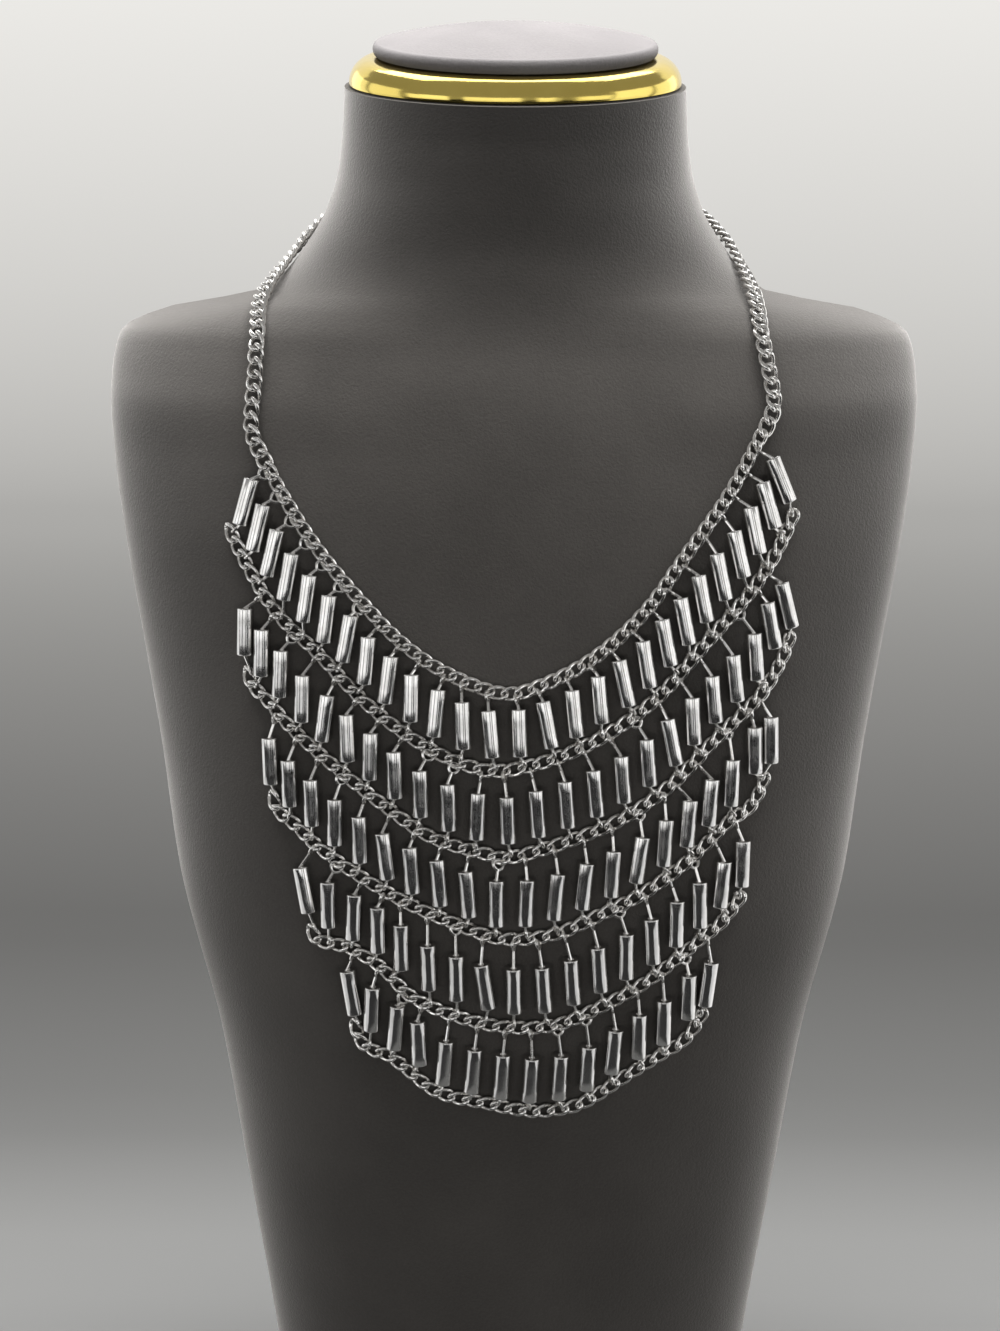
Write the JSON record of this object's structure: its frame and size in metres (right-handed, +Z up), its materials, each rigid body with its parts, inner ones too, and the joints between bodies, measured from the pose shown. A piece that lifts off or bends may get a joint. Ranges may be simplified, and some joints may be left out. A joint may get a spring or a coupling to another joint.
{
  "type": "bib necklace on a neck bust",
  "caption": "Metal bib necklace of curb chains with hanging bead rows between them, on a velvet neck bust.",
  "frame": {"origin": "middle of the bust's flat base, on the surface that it stands on", "axes": "+Z up the bust, -Y towards the front of the bib, +X to the right seen from the front"},
  "size_m": [0.2166, 0.1174, 0.3905],
  "materials": {
    "bust_velvet": "warm dark grey velvet",
    "pad_velvet": "pale grey velvet",
    "collar_gold": "polished gold colour",
    "necklace_silver": "polished silver colour"
  },
  "bodies": {
    "root": {"bust_body": "bust_velvet", "gold_collar": "collar_gold", "top_pad": "pad_velvet", "bead_row_1": "necklace_silver", "bead_row_2": "necklace_silver", "bead_row_3": "necklace_silver", "bead_row_4": "necklace_silver", "bead_row_5": "necklace_silver", "bottom_chain": "necklace_silver", "neck_chain_left": "necklace_silver", "neck_chain_right": "necklace_silver", "clasp": "necklace_silver"}
  },
  "joints": []
}
